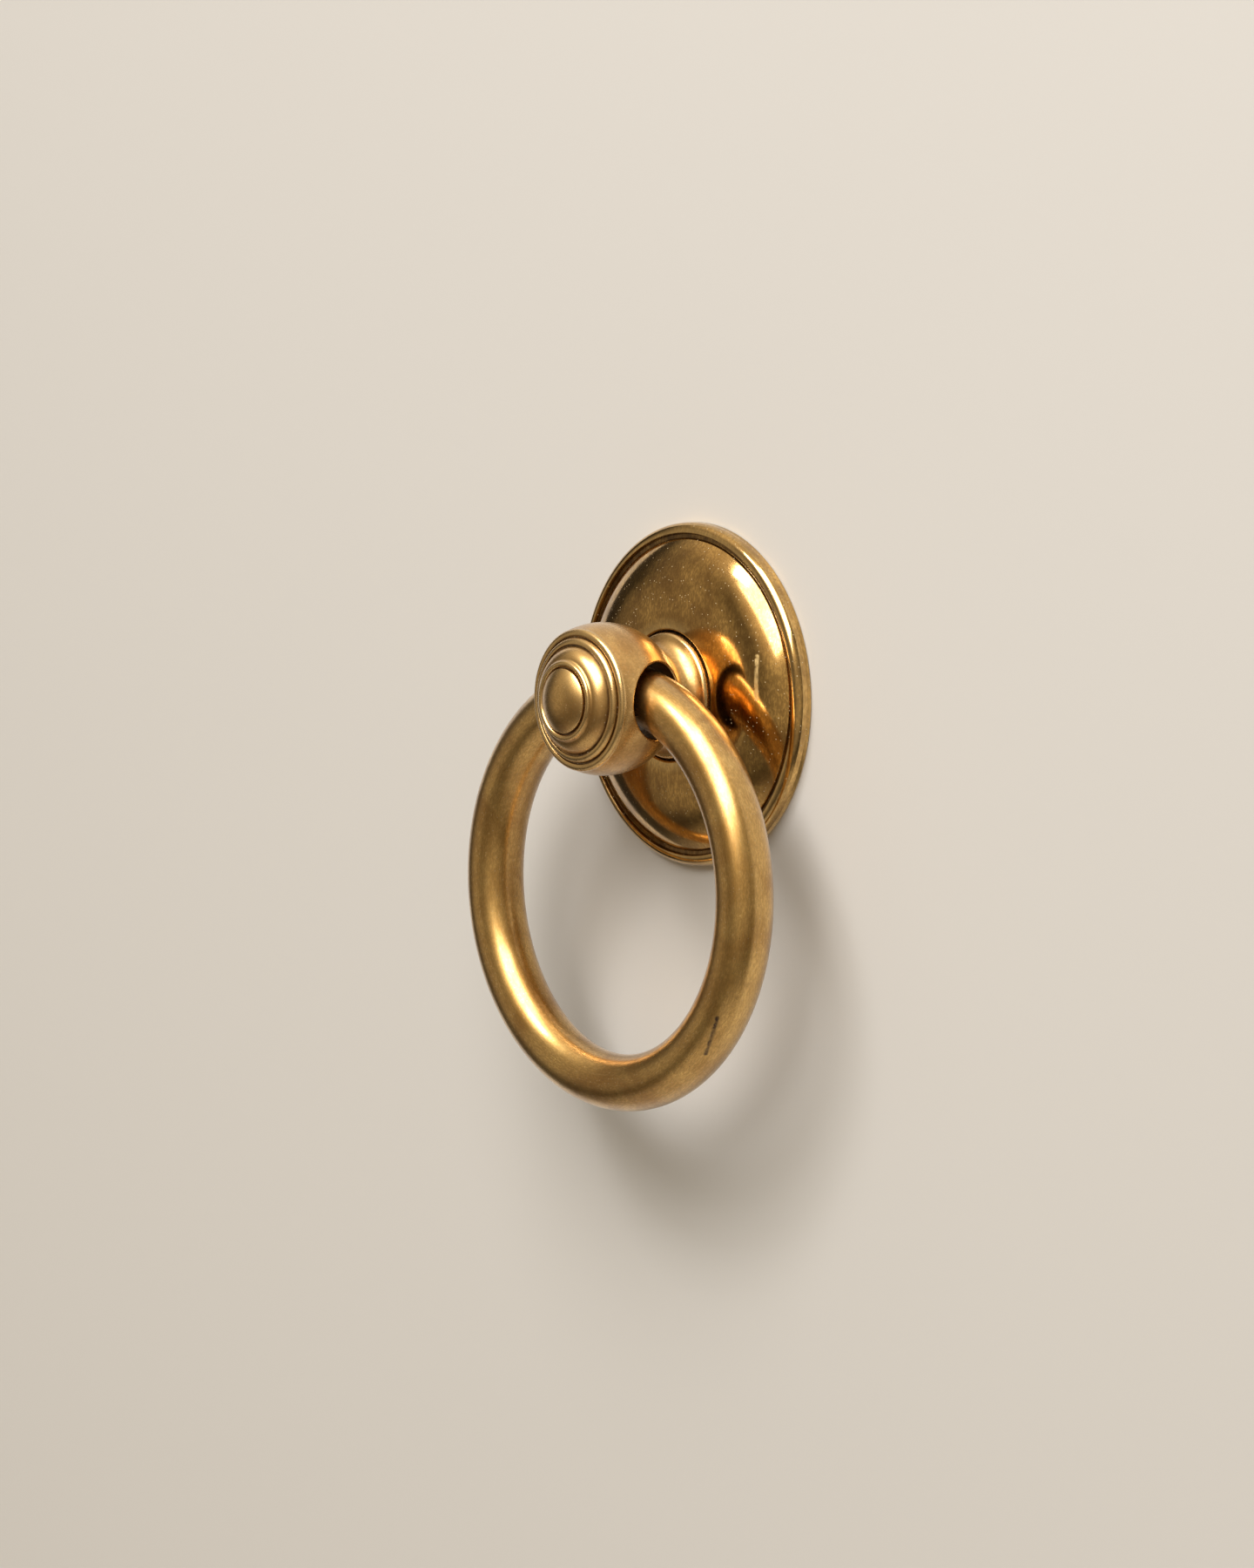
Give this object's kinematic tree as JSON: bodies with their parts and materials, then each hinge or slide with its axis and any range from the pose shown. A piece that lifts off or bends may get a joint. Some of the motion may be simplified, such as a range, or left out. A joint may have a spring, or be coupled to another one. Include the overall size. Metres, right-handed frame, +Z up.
{
  "type": "ring pull handle",
  "caption": "Brass ring pull for a drawer or door: a plain round ring hangs through the ball end of a turned post, seated in a domed rose with a beaded edge.",
  "frame": {"origin": "middle of the rose's flat back face, on the post's axis, in the plane of the front it is fixed to", "axes": "+Y into the front it is fixed to, -Y towards the hand, +Z up, the ring hangs towards -Z"},
  "size_m": [0.05, 0.0428, 0.0652],
  "materials": {
    "rose_brass": "aged, waxed",
    "post_brass": "aged, worn bright on the crests",
    "ring_brass": "aged, rubbed along the rod",
    "stud_steel": "bright zinc plated"
  },
  "bodies": {
    "fixed_base": {"backplate": "rose_brass", "ring_post": "post_brass", "fixing_stud": "stud_steel"},
    "swinging_ring": {"pull_ring": "ring_brass"}
  },
  "joints": [
    {"name": "ring_swing", "type": "hinge", "parent": "fixed_base", "child": "swinging_ring", "pos_m": [0, -0.01179, 0], "axis": [-1, 0, 0], "range_deg": [-11, 191]}
  ]
}
